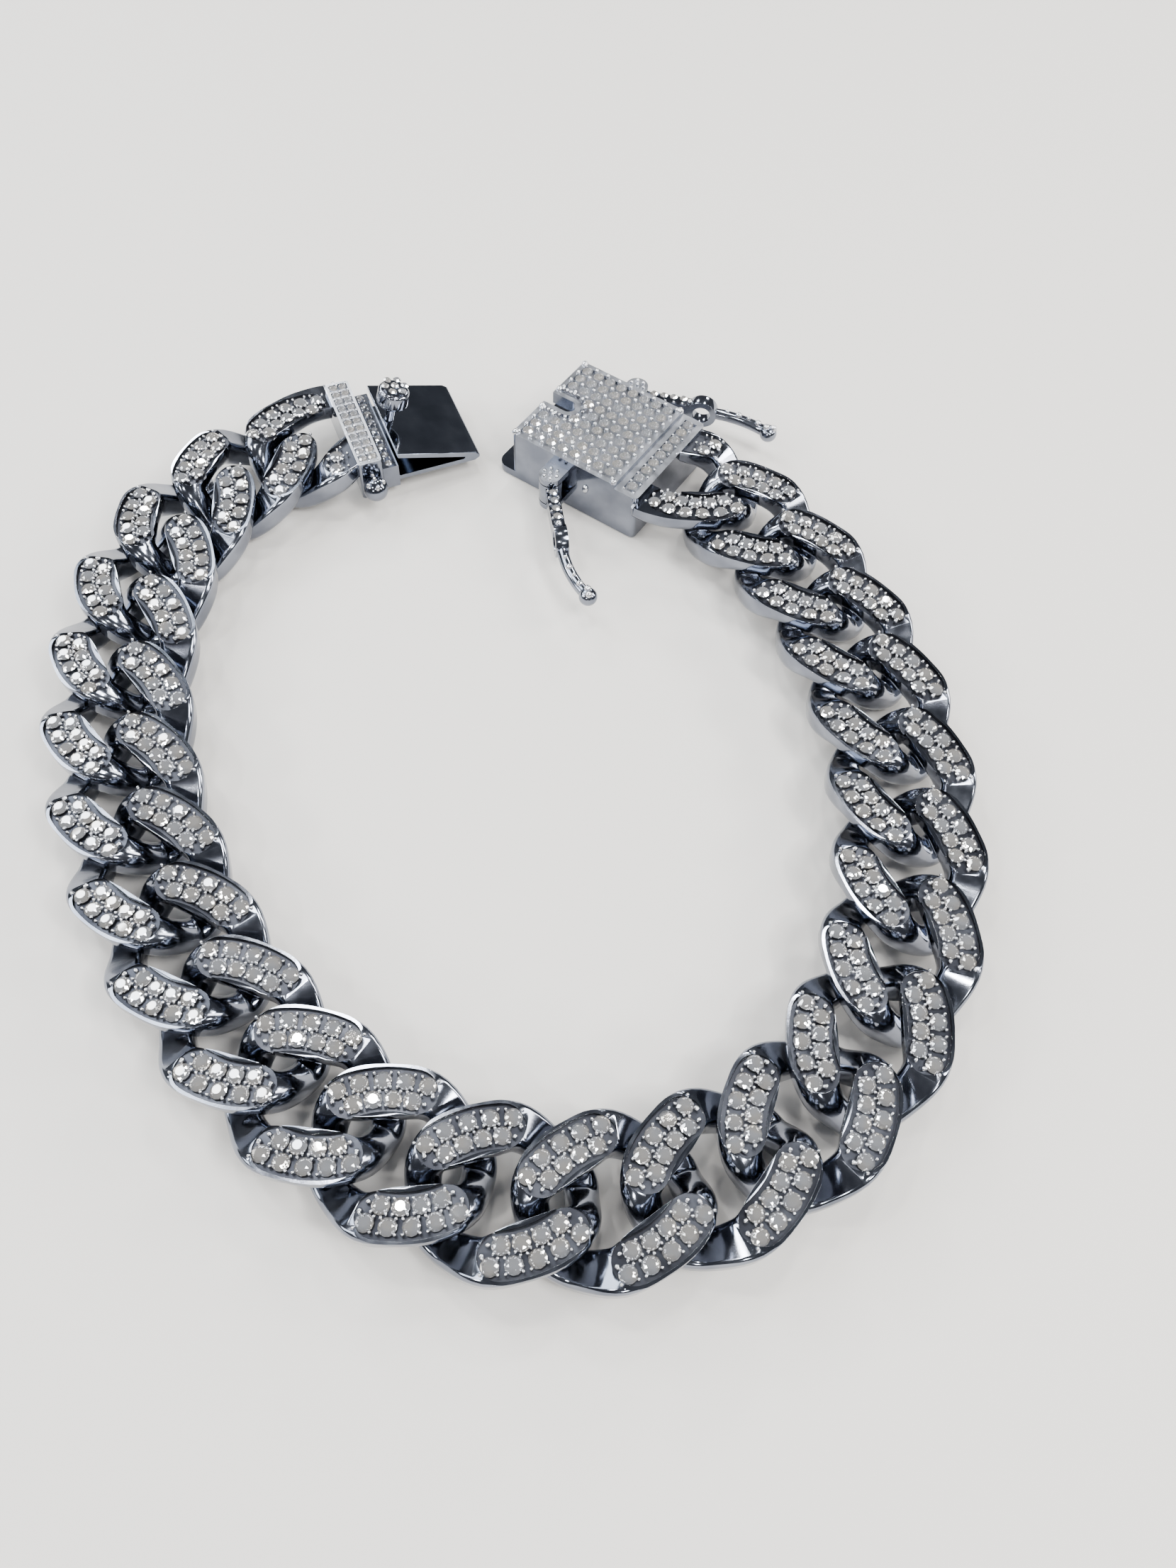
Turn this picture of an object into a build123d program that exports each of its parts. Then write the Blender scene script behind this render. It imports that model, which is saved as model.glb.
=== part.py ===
from build123d import *
import os
from math import atan2, cos, degrees, floor, radians, sin

# A stone-set curb link bracelet with a box clasp, laid open on a table. Millimetres.
# Z is up from the table. The tongue half of the clasp lies at the back left, the box half at
# the back right, and the chain runs round the front from one to the other.

# Links. Length is measured along the chain, width across it. Neighbours are set a share of the
# length apart, and their wires stay clear of each other by the play taken off each section.
LINK_LENGTH = 14.06
LINK_WIDTH = 12.2
LINK_THICKNESS = 5.38
LINK_PLAY = 0.04
PITCH_SHARE = 0.5405
TOP_EDGE_ROUND = 0.50
UNDER_EDGE_ROUND = 1.10
TOP_FALL = 5.7
DIAGONAL_SLOPE = 0.29
RIM_WIDTH = 0.34
POCKET_DEPTH = 0.35
FIELD_START = 0.30
FIELD_END = 0.55
BAR_FIELD_END = 0.50
SPAN_TO_LENGTH = 0.868

# Route of the chain: how far each link turns from the one before, in degrees, from the tongue
# to the box, and the heading that it starts with.
CHAIN_TURNS = [21, 20, 17, 12, 9, 8, 8, 8, 8, 9, 12, 14, 17, 18, 18, 16, 14, 11, 9, 9, 9, 9, 11, 16]
START_HEADING = -157.3

# Clearances of the clasp.
FIT_GAP = 0.10
TONGUE_PLAY = 0.30
STEM_PLAY = 0.30
HINGE_GAP = 0.12
MOUTH_GAP = 1.60

# End bars: each half-link is soldered to one, set off from the centre that a whole link would have.
BAR_SET_OFF = 2.3
BAR_HEIGHT = 5.15
BOX_BAR_DEPTH = 2.5
TONGUE_BAR_DEPTH = 2.3
TONGUE_BAR_WIDTH = 11.6
BAR_EDGE_ROUND = 0.3
BOX_STRIP_WIDTH = 0.6
TONGUE_STRIP_WIDTH = 0.25

# Box of the clasp.
BOX_LENGTH = 11.7
BOX_WIDTH = 12.3
BOX_HEIGHT = 5.6
BOX_WALL = 0.8
BOX_FLOOR = 0.8
BOX_ROOF = 1.3
BOX_CORNER_ROUND = 0.5
LIP_REACH = 1.9
LIP_CORNER_ROUND = 1.2

# Tongue: a guide step on the bar, and a folded leaf spring with a thumb button on a stem.
STEP_DEPTH = 1.6
STEP_HEIGHT = 3.45
TONGUE_REACH = 9.8
LEAF_THICKNESS = 0.5
LEAF_OPENING = 2.2
LEAF_ROOT = 1.2
BUTTON_DIAMETER = 3.0
BUTTON_HEIGHT = 1.7
BUTTON_RISE = 1.9
STEM_DIAMETER = 0.9
STEM_INSET = 0.75

# Safety latches: an arm on a pin at each side wall, with an eye that snaps over a ball stud.
LATCH_INSET = 5.5
BARREL_DIAMETER = 2.2
BARREL_HEIGHT = 2.2
PIN_DIAMETER = 0.8
LUG_THICKNESS = 0.6
ARM_WIDTH = 1.2
ARM_HEIGHT = 1.7
EYE_DIAMETER = 3.0
EYE_HOLE = 1.8
TAIL_LENGTH = 6.9
TAIL_CURL = 1.5
TAIL_DIAMETER = 1.1
TIP_DIAMETER = 1.7
STUD_DIAMETER = 2.35
STUD_NECK = 1.2
STUD_REACH = 0.9
FRONT_OPEN_ANGLE = 133
BACK_OPEN_ANGLE = 158

# Stones of the clasp.
STONE_DIAMETER = 1.08
SMALL_STONE_DIAMETER = 0.80
STONE_GAP = 0.16
STONE_SEAT = 0.05
STONE_DEPTH_SHARE = 0.43
CROWN_SHARE = 0.16
TABLE_SHARE = 0.56
CULET_SHARE = 0.06
STONE_SIDES = 8
BEZEL_WIDTH = 0.5

# Sections round a link, as shares of its length, width and thickness: the centre of the wire, its
# width as a share of the link's span, and its height as a share of the thickness. They run from the
# wire that lies low under one neighbour, up the blunt end, along the stone field, and down again.
SECTION_COLUMNS = ("along", "across", "up", "wide", "high")
RING_SECTIONS = {
    "low_by_tip": (-0.377, -0.094, -0.232, 0.205, 0.428),
    "rising_end": (-0.395, 0.070, 0.158, 0.221, 0.539),
    "blunt_end": (-0.309, 0.189, 0.353, 0.295, 0.502),
    "mid_field": (-0.156, 0.295, 0.307, 0.303, 0.465),
    "field_foot": (0.004, 0.373, 0.093, 0.254, 0.502),
    "going_under": (0.192, 0.320, -0.242, 0.213, 0.428),
    "lowest": (0.331, 0.217, -0.288, 0.205, 0.428),
}
# On the clasp's half-links the field stays up until it meets the bar.
BAR_SECTIONS = {
    "level_field": (0.012, 0.381, 0.242, 0.279, 0.465),
    "at_bar": (0.200, 0.389, 0.223, 0.270, 0.502),
}

LINK_SPAN = min(LINK_WIDTH, LINK_LENGTH * SPAN_TO_LENGTH)
LINK_PITCH = LINK_LENGTH * PITCH_SHARE
UP = Vector(0, 0, 1)


def section(row, half_turn=False):
    size = dict(zip(SECTION_COLUMNS, row))
    turn = -1 if half_turn else 1
    centre = Vector(
        turn * size["along"] * LINK_LENGTH,
        turn * size["across"] * LINK_WIDTH,
        size["up"] * LINK_THICKNESS,
    )
    return centre, size["wide"] * LINK_SPAN - LINK_PLAY, size["high"] * LINK_THICKNESS - LINK_PLAY


def section_wire(centre, tangent, wide, high):
    plane = Plane(origin=centre, x_dir=UP.cross(tangent), z_dir=tangent)
    top = min(TOP_EDGE_ROUND, 0.46 * min(wide, high))
    under = min(UNDER_EDGE_ROUND, 0.46 * min(wide, high))
    corners = [(-wide / 2, -high / 2), (wide / 2, -high / 2), (wide / 2, high / 2), (-wide / 2, high / 2)]
    outline = FilletPolyline(*corners, radius=[under, under, top, top], close=True)
    return plane * make_face(outline)


def run_direction(before, here, after):
    # Direction of a smooth line through three points, at the middle one.
    back = here - before
    ahead = after - here
    return back.normalized() * ahead.length + ahead.normalized() * back.length


def loft_sections(rows):
    # The first and last rows only give the directions at the ends.
    faces = []
    for before, row, after in zip(rows, rows[1:], rows[2:]):
        direction = run_direction(before[0], row[0], after[0]).normalized()
        faces.append(section_wire(row[0], direction, row[1], row[2]))
    return loft(faces).solid()


def whole_turn():
    rows = [section(row) for row in RING_SECTIONS.values()]
    return rows + [section(row, half_turn=True) for row in RING_SECTIONS.values()]


def half_box(side):
    # Everything on one side of the long diagonal of a link.
    reach = LINK_LENGTH + LINK_WIDTH
    diagonal = -degrees(atan2(DIAGONAL_SLOPE * LINK_WIDTH, LINK_LENGTH))
    return Rot(0, 0, diagonal) * Pos(0, side * reach / 2, 0) * Box(2 * reach, reach, 2 * reach)


def field_plane(side, drop):
    # Flat top of the stone field: highest at the blunt end and falling along the field.
    along, across, up = RING_SECTIONS["blunt_end"][:3]
    foot_along, foot_across = RING_SECTIONS["field_foot"][:2]
    slope = Vector((foot_along - along) * LINK_LENGTH, (foot_across - across) * LINK_WIDTH, 0).normalized()
    tilt = radians(TOP_FALL)
    normal = Vector(side * slope.X * sin(tilt), side * slope.Y * sin(tilt), cos(tilt))
    crest = Vector(
        side * RING_SECTIONS["rising_end"][0] * LINK_LENGTH,
        side * RING_SECTIONS["rising_end"][1] * LINK_WIDTH,
        LINK_THICKNESS / 2 - drop,
    )
    return Plane(origin=crest, x_dir=slope * side, z_dir=normal)


def above_plane(side, drop):
    reach = 2 * (LINK_LENGTH + LINK_WIDTH)
    return field_plane(side, drop) * Pos(0, 0, reach / 2) * Box(reach, reach, reach)


def blend(first, second, share):
    return first + (second - first) * share


def field_pocket(last_name, last_share):
    # A curved slot inside the rim of the inner lobe, sunk below the flat top.
    table = {**RING_SECTIONS, **BAR_SECTIONS}
    centres = {name: section(row)[0] for name, row in table.items()}
    start = blend(centres["blunt_end"], centres["rising_end"], FIELD_START)
    middle = centres["mid_field"]
    end = blend(middle, centres[last_name], last_share)
    flat = [(point.X, point.Y) for point in (start, middle, end)]
    wide = section(RING_SECTIONS["mid_field"])[1] - 2 * RIM_WIDTH
    slot = SlotArc(ThreePointArc(*flat), wide)
    column = extrude(slot, LINK_THICKNESS, both=True)
    return column & above_plane(1, POCKET_DEPTH)


def trim_top(body):
    for side in (1, -1):
        body = body.cut(above_plane(side, 0) & half_box(side))
    return largest(body)


def largest(shape):
    return shape.solids().sort_by(SortBy.VOLUME)[-1]


def make_link():
    # Two like halves, sewn together where their open ends meet.
    rows = whole_turn()
    half = loft_sections(rows[-2:] + rows[: len(RING_SECTIONS) + 1])
    walls = list(half.faces().filter_by(GeomType.PLANE, reverse=True))
    walls += [Rot(0, 0, 180) * wall for wall in walls]
    link = trim_top(Solid(Shell(walls)))
    pocket = field_pocket("field_foot", FIELD_END)
    link = link.cut(pocket)
    link = link.cut(Rot(0, 0, 180) * pocket)
    return largest(link)


def make_half_link():
    # Open towards +x, where both ends run into the bar.
    names = list(RING_SECTIONS)
    outer = [section(RING_SECTIONS[name], half_turn=True) for name in names[1:]]
    inner = [section(RING_SECTIONS[name]) for name in names[:4]]
    stub = [section(row) for row in BAR_SECTIONS.values()]
    beyond = (stub[-1][0] + Vector(LINK_PITCH, 0, 0), 0, 0)
    bend = trim_top(loft_sections(outer + inner + stub + [beyond]))
    bend = bend.cut(field_pocket("at_bar", BAR_FIELD_END))
    bend = bend.cut(Rot(0, 0, 180) * field_pocket("field_foot", FIELD_END))
    end = BAR_SET_OFF + BAR_EDGE_ROUND
    keep = block(-LINK_LENGTH, end, -LINK_WIDTH, LINK_WIDTH, -LINK_THICKNESS, LINK_THICKNESS)
    return largest(bend & keep)


def block(x0, x1, y0, y1, z0, z1):
    return Pos((x0 + x1) / 2, (y0 + y1) / 2, (z0 + z1) / 2) * Box(x1 - x0, y1 - y0, z1 - z0)


def rounded_block(x0, x1, y0, y1, z0, z1, radius):
    body = block(x0, x1, y0, y1, z0, z1)
    return fillet(body.edges().filter_by(Axis.Z), radius)


def upright(x, y, z0, z1, diameter):
    return Pos(x, y, (z0 + z1) / 2) * Cylinder(diameter / 2, z1 - z0)


def chain_frames(curl):
    # Plan place and heading of each link's centre, with every turn scaled by the curl.
    x = 0.0
    y = 0.0
    heading = START_HEADING
    frames = [(x, y, heading)]
    for turn in CHAIN_TURNS:
        for part in (0, curl * turn):
            heading += part
            x += LINK_PITCH / 2 * cos(radians(heading))
            y += LINK_PITCH / 2 * sin(radians(heading))
        frames.append((x, y, heading))
    return frames


def plan_point(frame, along, across):
    x, y, heading = frame
    turn = radians(heading)
    return x + along * cos(turn) - across * sin(turn), y + along * sin(turn) + across * cos(turn)


def mouth_gap(frames):
    # From the near corner of the tongue's tip to the near corner of the box's lip.
    tip = plan_point(frames[0], -TONGUE_TIP, TONGUE_WIDTH / 2)
    lip = plan_point(frames[-1], MOUTH + LIP_REACH, BOX_WIDTH / 2)
    return lip[0] - tip[0]


def fit_curl():
    # The chain curls until the open clasp's two halves lie the mouth gap apart.
    loose = 0.9
    tight = 1.1
    for _ in range(40):
        curl = (loose + tight) / 2
        if mouth_gap(chain_frames(curl)) > MOUTH_GAP:
            loose = curl
        else:
            tight = curl
    return curl


# Places along the clasp's halves, from the centre that a whole end link would have.
BOX_START = BAR_SET_OFF + BOX_BAR_DEPTH
MOUTH = BOX_START + BOX_LENGTH
BAR_FACE = BAR_SET_OFF + TONGUE_BAR_DEPTH
STEP_FACE = BAR_FACE + STEP_DEPTH
TONGUE_TIP = BAR_FACE + TONGUE_REACH
BAR_FLOOR = BOX_FLOOR + FIT_GAP
CAVITY_TOP = BOX_HEIGHT - BOX_ROOF
CAVITY_WIDTH = BOX_WIDTH - 2 * BOX_WALL
TONGUE_WIDTH = CAVITY_WIDTH - 2 * TONGUE_PLAY
STEM_PLACE = STEP_FACE + STEM_INSET
STUD_PLACE = BAR_SET_OFF + TONGUE_BAR_DEPTH / 2
STUD_HEIGHT = BAR_HEIGHT / 2 + FIT_GAP
HINGE_PLACE = MOUTH - LATCH_INSET
HINGE_OFFSET = BOX_WIDTH / 2 + BARREL_DIAMETER / 2 + 2 * HINGE_GAP
EYE_PLACE = LATCH_INSET + FIT_GAP + BAR_FACE - STUD_PLACE


def make_box():
    # Shell open at the mouth, with a lip under it and a slot in the roof for the button's stem.
    half = BOX_WIDTH / 2
    shell = rounded_block(BAR_SET_OFF, MOUTH, -half, half, 0, BOX_HEIGHT, BOX_CORNER_ROUND)
    shell -= block(BAR_SET_OFF - BOX_WALL, BOX_START, -half, half, BAR_HEIGHT, BOX_HEIGHT + BOX_ROOF)
    lip = block(MOUTH - BOX_WALL, MOUTH + LIP_REACH, -half, half, 0, BOX_FLOOR)
    lip = fillet(lip.edges().filter_by(Axis.Z).group_by(Axis.X)[-1], LIP_CORNER_ROUND)
    shell += lip
    inner = CAVITY_WIDTH / 2
    shell -= block(BOX_START + BOX_WALL, MOUTH + LIP_REACH, -inner, inner, BOX_FLOOR, CAVITY_TOP)
    shell -= stem_slot()
    shell -= box_field()
    for side in (1, -1):
        shell += side_lugs(side)
    bar_bed = bar_field(BOX_BAR_DEPTH, BOX_WIDTH, BOX_STRIP_WIDTH)
    shell -= block(*bar_bed, BAR_HEIGHT - POCKET_DEPTH, BAR_HEIGHT + BOX_ROOF)
    return shell.solid().fuse(lifted(HALF_LINK)).solid()


def lifted(shape):
    return Pos(0, 0, LINK_REST) * shape


def stem_slot():
    width = STEM_DIAMETER + 2 * STEM_PLAY
    depth = STEM_PLACE - BAR_FACE + width / 2
    end = MOUTH - depth + width / 2
    low = CAVITY_TOP - BOX_ROOF
    slot = block(end, MOUTH + LIP_REACH, -width / 2, width / 2, low, BOX_HEIGHT)
    return slot + upright(end, 0, low, BOX_HEIGHT, width)


def box_field():
    # Sunk bed for the stones of the roof, inside its polished border.
    half = BOX_WIDTH / 2 - BEZEL_WIDTH
    top = BOX_HEIGHT + BOX_ROOF
    bed = block(BOX_START + BEZEL_WIDTH, MOUTH - BEZEL_WIDTH, -half, half, BOX_HEIGHT - POCKET_DEPTH, top)
    width = STEM_DIAMETER + 2 * STEM_PLAY + 2 * BEZEL_WIDTH
    depth = STEM_PLACE - BAR_FACE + width / 2
    end = MOUTH - depth + width / 2
    return bed - block(end, MOUTH, -width / 2, width / 2, 0, top) - upright(end, 0, 0, top, width)


def bar_field(depth, width, strip):
    # Bed for a bar's stones between its two polished strips.
    start = BAR_SET_OFF + strip
    return start, start + depth - 2 * strip, strip - width / 2, width / 2 - strip


def side_lugs(side):
    # Two ears on a side wall with the hinge pin between them.
    low = STUD_HEIGHT - BARREL_HEIGHT / 2 - HINGE_GAP
    high = STUD_HEIGHT + BARREL_HEIGHT / 2 + HINGE_GAP
    lugs = upright(HINGE_PLACE, HINGE_OFFSET, low - LUG_THICKNESS, high + LUG_THICKNESS, PIN_DIAMETER)
    for floor_height in (low - LUG_THICKNESS, high):
        top = floor_height + LUG_THICKNESS
        lugs += upright(HINGE_PLACE, HINGE_OFFSET, floor_height, top, BARREL_DIAMETER)
        half = BARREL_DIAMETER / 2
        inside = BOX_WIDTH / 2 - BOX_WALL / 2
        lugs += block(HINGE_PLACE - half, HINGE_PLACE + half, inside, HINGE_OFFSET, floor_height, top)
    return lugs if side > 0 else mirror(lugs, Plane.XZ)


def make_tongue_bar():
    half = TONGUE_BAR_WIDTH / 2
    bar = rounded_block(BAR_SET_OFF, BAR_FACE, -half, half, BAR_FLOOR, BAR_HEIGHT, BAR_EDGE_ROUND)
    bar_bed = bar_field(TONGUE_BAR_DEPTH, TONGUE_BAR_WIDTH, TONGUE_STRIP_WIDTH)
    bar -= block(*bar_bed, BAR_HEIGHT - POCKET_DEPTH, BAR_HEIGHT + BOX_ROOF)
    step_half = CAVITY_WIDTH / 2 - FIT_GAP
    bar += block(BAR_FACE - BAR_EDGE_ROUND, STEP_FACE, -step_half, step_half, BAR_FLOOR, STEP_HEIGHT)
    slot_half = TONGUE_WIDTH / 2 + FIT_GAP
    root = STEP_FACE - LEAF_ROOT - FIT_GAP
    low = BAR_FLOOR + LEAF_THICKNESS - FIT_GAP
    high = BAR_FLOOR + 2 * LEAF_THICKNESS + FIT_GAP
    bar -= block(root, MOUTH, -slot_half, slot_half, low, high)
    for side in (1, -1):
        tip = side * (half + STUD_REACH)
        neck = Rot(90, 0, 0) * Cylinder(STUD_NECK / 2, 2 * STUD_REACH)
        bar += Pos(STUD_PLACE, side * half, STUD_HEIGHT) * neck
        bar += Pos(STUD_PLACE, tip, STUD_HEIGHT) * Sphere(STUD_DIAMETER / 2)
    return bar.solid().fuse(lifted(HALF_LINK)).solid()


def make_tongue_spring():
    # Lower leaf from its slot in the step to the folded tip, upper leaf springing back up.
    floor_height = BAR_FLOOR + LEAF_THICKNESS
    root = STEP_FACE - LEAF_ROOT
    free_end = STEP_FACE + FIT_GAP
    top = floor_height + LEAF_THICKNESS
    fold = LEAF_THICKNESS
    profile = Polyline(
        (root, floor_height),
        (TONGUE_TIP - fold, floor_height),
        (TONGUE_TIP, floor_height + fold * 0.6),
        (TONGUE_TIP, floor_height + fold * 1.2),
        (TONGUE_TIP - fold, top + fold),
        (free_end, top + LEAF_OPENING + LEAF_THICKNESS),
        (free_end, top + LEAF_OPENING),
        (TONGUE_TIP - 3 * fold, top + fold * 0.4),
        (TONGUE_TIP - 3 * fold, top),
        (root, top),
        close=True,
    )
    face = make_face(Plane.XZ * profile)
    return extrude(face, TONGUE_WIDTH / 2, both=True).solid()


def button_frame():
    # Stands square on the upper leaf, so that it leans towards the tip.
    top = BAR_FLOOR + 3 * LEAF_THICKNESS + LEAF_OPENING
    slope = degrees(atan2(LEAF_OPENING, TONGUE_TIP - STEP_FACE))
    foot_height = top - STEM_INSET * LEAF_OPENING / (TONGUE_TIP - STEP_FACE)
    return Pos(STEM_PLACE, 0, foot_height) * Rot(0, slope, 0)


def make_thumb_button():
    stem = Pos(0, 0, FIT_GAP / 2 + BUTTON_RISE / 2) * Cylinder(STEM_DIAMETER / 2, BUTTON_RISE)
    drum = Pos(0, 0, BUTTON_RISE + BUTTON_HEIGHT / 2) * Cylinder(BUTTON_DIAMETER / 2, BUTTON_HEIGHT)
    drum = fillet(drum.edges().filter_by(GeomType.CIRCLE), BUTTON_HEIGHT / 5)
    return (button_frame() * (drum + stem)).solid()


def make_latch():
    # Along +x from its hinge: barrel, straight arm, eye, and a tail that curls away from the box.
    reach = EYE_PLACE + TAIL_LENGTH
    arm_end = EYE_PLACE - EYE_DIAMETER / 2 + ARM_WIDTH / 4
    body = Cylinder(BARREL_DIAMETER / 2, BARREL_HEIGHT)
    body += block(0, arm_end, -ARM_WIDTH / 2, ARM_WIDTH / 2, -ARM_HEIGHT / 2, ARM_HEIGHT / 2)
    body += Pos(EYE_PLACE, 0, 0) * Rot(90, 0, 0) * Cylinder(EYE_DIAMETER / 2, ARM_WIDTH)
    tail_start = EYE_PLACE + (EYE_DIAMETER + EYE_HOLE) / 4
    tail = TangentArc((tail_start, 0, 0), (reach, TAIL_CURL, 0), tangent=(1, 0, 0))
    body += sweep(Plane(origin=tail @ 0, z_dir=tail % 0) * Circle(TAIL_DIAMETER / 2), path=tail)
    body += Pos(reach, TAIL_CURL, 0) * Sphere(TIP_DIAMETER / 2)
    body -= Cylinder(PIN_DIAMETER / 2 + HINGE_GAP, BARREL_HEIGHT)
    body -= Pos(EYE_PLACE, 0, 0) * Rot(90, 0, 0) * Cylinder(EYE_HOLE / 2, 2 * ARM_WIDTH)
    return body.solid()


def latch_place(side, angle):
    # On the box's side wall, swung open from its closed place along the wall.
    return Pos(HINGE_PLACE, side * HINGE_OFFSET, STUD_HEIGHT) * Rot(0, 0, side * angle)


def make_stone(diameter):
    # Table, a ring of crown facets and a ring of pavilion facets, girdle at z = 0.
    heights = (CROWN_SHARE * diameter, 0, -STONE_DEPTH_SHARE * diameter)
    shares = (TABLE_SHARE, 1, CULET_SHARE)
    rings = []
    for height, share in zip(heights, shares):
        rings.append(Pos(0, 0, height) * RegularPolygon(share * diameter / 2, STONE_SIDES))
    return loft(rings, ruled=True).solid()


def girdle_height(bed_height, diameter):
    return bed_height + STONE_SEAT + STONE_DEPTH_SHARE * diameter


def stone_grid(x0, x1, y0, y1, diameter):
    # Rows and columns spread evenly inside a bed.
    step = diameter + STONE_GAP
    columns = max(1, floor((x1 - x0 + STONE_GAP) / step))
    rows = max(1, floor((y1 - y0 + STONE_GAP) / step))
    places = []
    for column in range(columns):
        for row in range(rows):
            x = x0 + (column + 0.5) * (x1 - x0) / columns
            y = y0 + (row + 0.5) * (y1 - y0) / rows
            places.append((x, y))
    return places


def box_stones():
    half = BOX_WIDTH / 2 - BEZEL_WIDTH
    places = stone_grid(BOX_START + BEZEL_WIDTH, MOUTH - BEZEL_WIDTH, -half, half, STONE_DIAMETER)
    slot_half = STEM_DIAMETER / 2 + STEM_PLAY + BEZEL_WIDTH
    slot_end = MOUTH - (STEM_PLACE - BAR_FACE) - slot_half
    z = girdle_height(BOX_HEIGHT - POCKET_DEPTH, STONE_DIAMETER)
    kept = []
    for x, y in places:
        if x + STONE_DIAMETER / 2 < slot_end or abs(y) - STONE_DIAMETER / 2 > slot_half:
            kept.append(Pos(x, y, z))
    return kept


def bar_stones(bed, diameter):
    z = girdle_height(BAR_HEIGHT - POCKET_DEPTH, diameter)
    return [Pos(x, y, z) for x, y in stone_grid(*bed, diameter)]


def button_stones():
    # One in the middle of the button's top and a ring round it.
    z = BUTTON_RISE + BUTTON_HEIGHT + STONE_SEAT + STONE_DEPTH_SHARE * SMALL_STONE_DIAMETER
    ring_radius = SMALL_STONE_DIAMETER + STONE_GAP
    places = [Pos(0, 0, z)]
    for index in range(6):
        places.append(Rot(0, 0, 60 * index) * Pos(ring_radius, 0, z))
    return [button_frame() * place for place in places]


def latch_stones():
    z = ARM_HEIGHT / 2 + STONE_SEAT + STONE_DEPTH_SHARE * SMALL_STONE_DIAMETER
    start = BARREL_DIAMETER / 2 + STONE_GAP
    end = EYE_PLACE - EYE_DIAMETER / 2
    return [Pos(x, y, z) for x, y in stone_grid(start, end, 0, 0, SMALL_STONE_DIAMETER)]


def gather(stone, places):
    return Compound([stone.moved(place) for place in places])


def facing_back(frame):
    # The tongue's half is modelled looking towards its clasp, against the run of the chain.
    x, y, heading = frame
    return x, y, heading + 180


def in_plan(shape, frame):
    x, y, heading = frame
    return shape.moved(Location((x, y, 0), (0, 0, heading)))


LINK = make_link()
HALF_LINK = make_half_link()
LINK_REST = -LINK.bounding_box().min.Z

frames = chain_frames(fit_curl())
tongue_frame = facing_back(frames[0])
box_frame = frames[-1]
latch = make_latch()
stone = make_stone(STONE_DIAMETER)
small_stone = make_stone(SMALL_STONE_DIAMETER)
front_place = latch_place(1, FRONT_OPEN_ANGLE)
back_place = latch_place(-1, BACK_OPEN_ANGLE)
back_latch = mirror(latch, Plane.XZ)
latch_row = latch_stones()

pieces = {}
for number, frame in enumerate(frames[1:-1], start=1):
    pieces[f"link_{number:02d}"] = in_plan(lifted(LINK), frame)
pieces["clasp_box"] = in_plan(make_box(), box_frame)
pieces["tongue_bar"] = in_plan(make_tongue_bar(), tongue_frame)
pieces["tongue_spring"] = in_plan(make_tongue_spring(), tongue_frame)
pieces["thumb_button"] = in_plan(make_thumb_button(), tongue_frame)
pieces["front_latch"] = in_plan(front_place * latch, box_frame)
pieces["back_latch"] = in_plan(back_place * back_latch, box_frame)
pieces["box_stones"] = in_plan(gather(stone, box_stones()), box_frame)
box_bar_row = bar_stones(bar_field(BOX_BAR_DEPTH, BOX_WIDTH, BOX_STRIP_WIDTH), STONE_DIAMETER)
pieces["box_bar_stones"] = in_plan(gather(stone, box_bar_row), box_frame)
tongue_bed = bar_field(TONGUE_BAR_DEPTH, TONGUE_BAR_WIDTH, TONGUE_STRIP_WIDTH)
tongue_rows = bar_stones(tongue_bed, SMALL_STONE_DIAMETER)
pieces["tongue_bar_stones"] = in_plan(gather(small_stone, tongue_rows), tongue_frame)
pieces["button_stones"] = in_plan(gather(small_stone, button_stones()), tongue_frame)
pieces["front_latch_stones"] = in_plan(gather(small_stone, [front_place * p for p in latch_row]), box_frame)
pieces["back_latch_stones"] = in_plan(gather(small_stone, [back_place * p for p in latch_row]), box_frame)

# The origin is under the middle of the whole outline, on the table.
boxes = [shape.bounding_box() for shape in pieces.values()]
middle_x = (min(box.min.X for box in boxes) + max(box.max.X for box in boxes)) / 2
middle_y = (min(box.min.Y for box in boxes) + max(box.max.Y for box in boxes)) / 2

os.makedirs("parts", exist_ok=True)
for name, shape in pieces.items():
    placed = shape.moved(Location((-middle_x, -middle_y, 0)))
    placed.label = name
    export_step(placed, os.path.join("parts", name + ".step"))
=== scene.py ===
import bpy
import bmesh
from math import atan2, cos, pi, radians, sin, sqrt
from mathutils import Matrix, Vector


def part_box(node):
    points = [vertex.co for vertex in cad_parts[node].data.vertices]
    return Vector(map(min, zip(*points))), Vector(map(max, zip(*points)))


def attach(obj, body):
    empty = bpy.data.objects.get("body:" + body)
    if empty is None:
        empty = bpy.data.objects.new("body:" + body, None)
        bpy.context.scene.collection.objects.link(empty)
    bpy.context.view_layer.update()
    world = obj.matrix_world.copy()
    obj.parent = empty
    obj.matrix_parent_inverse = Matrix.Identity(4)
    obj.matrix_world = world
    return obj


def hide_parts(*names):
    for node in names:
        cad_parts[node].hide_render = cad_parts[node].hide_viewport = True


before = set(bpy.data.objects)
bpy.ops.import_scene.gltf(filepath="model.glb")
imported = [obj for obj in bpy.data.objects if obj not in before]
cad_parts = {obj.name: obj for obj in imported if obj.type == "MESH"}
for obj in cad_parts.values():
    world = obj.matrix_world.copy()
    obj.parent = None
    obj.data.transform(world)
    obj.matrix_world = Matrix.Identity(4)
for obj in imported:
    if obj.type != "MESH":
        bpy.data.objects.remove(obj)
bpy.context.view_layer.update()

mm = 0.001
hair = 1e-6  # in metres, less than any real difference of height here
cutThreshold = 1e-7
nearlyLevel = 0.97  # least upward part of a level face's normal


def deselectAll():
    if bpy.context.object and bpy.context.object.mode != "OBJECT":
        bpy.ops.object.mode_set(mode="OBJECT")
    bpy.ops.object.select_all(action="DESELECT")


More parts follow.
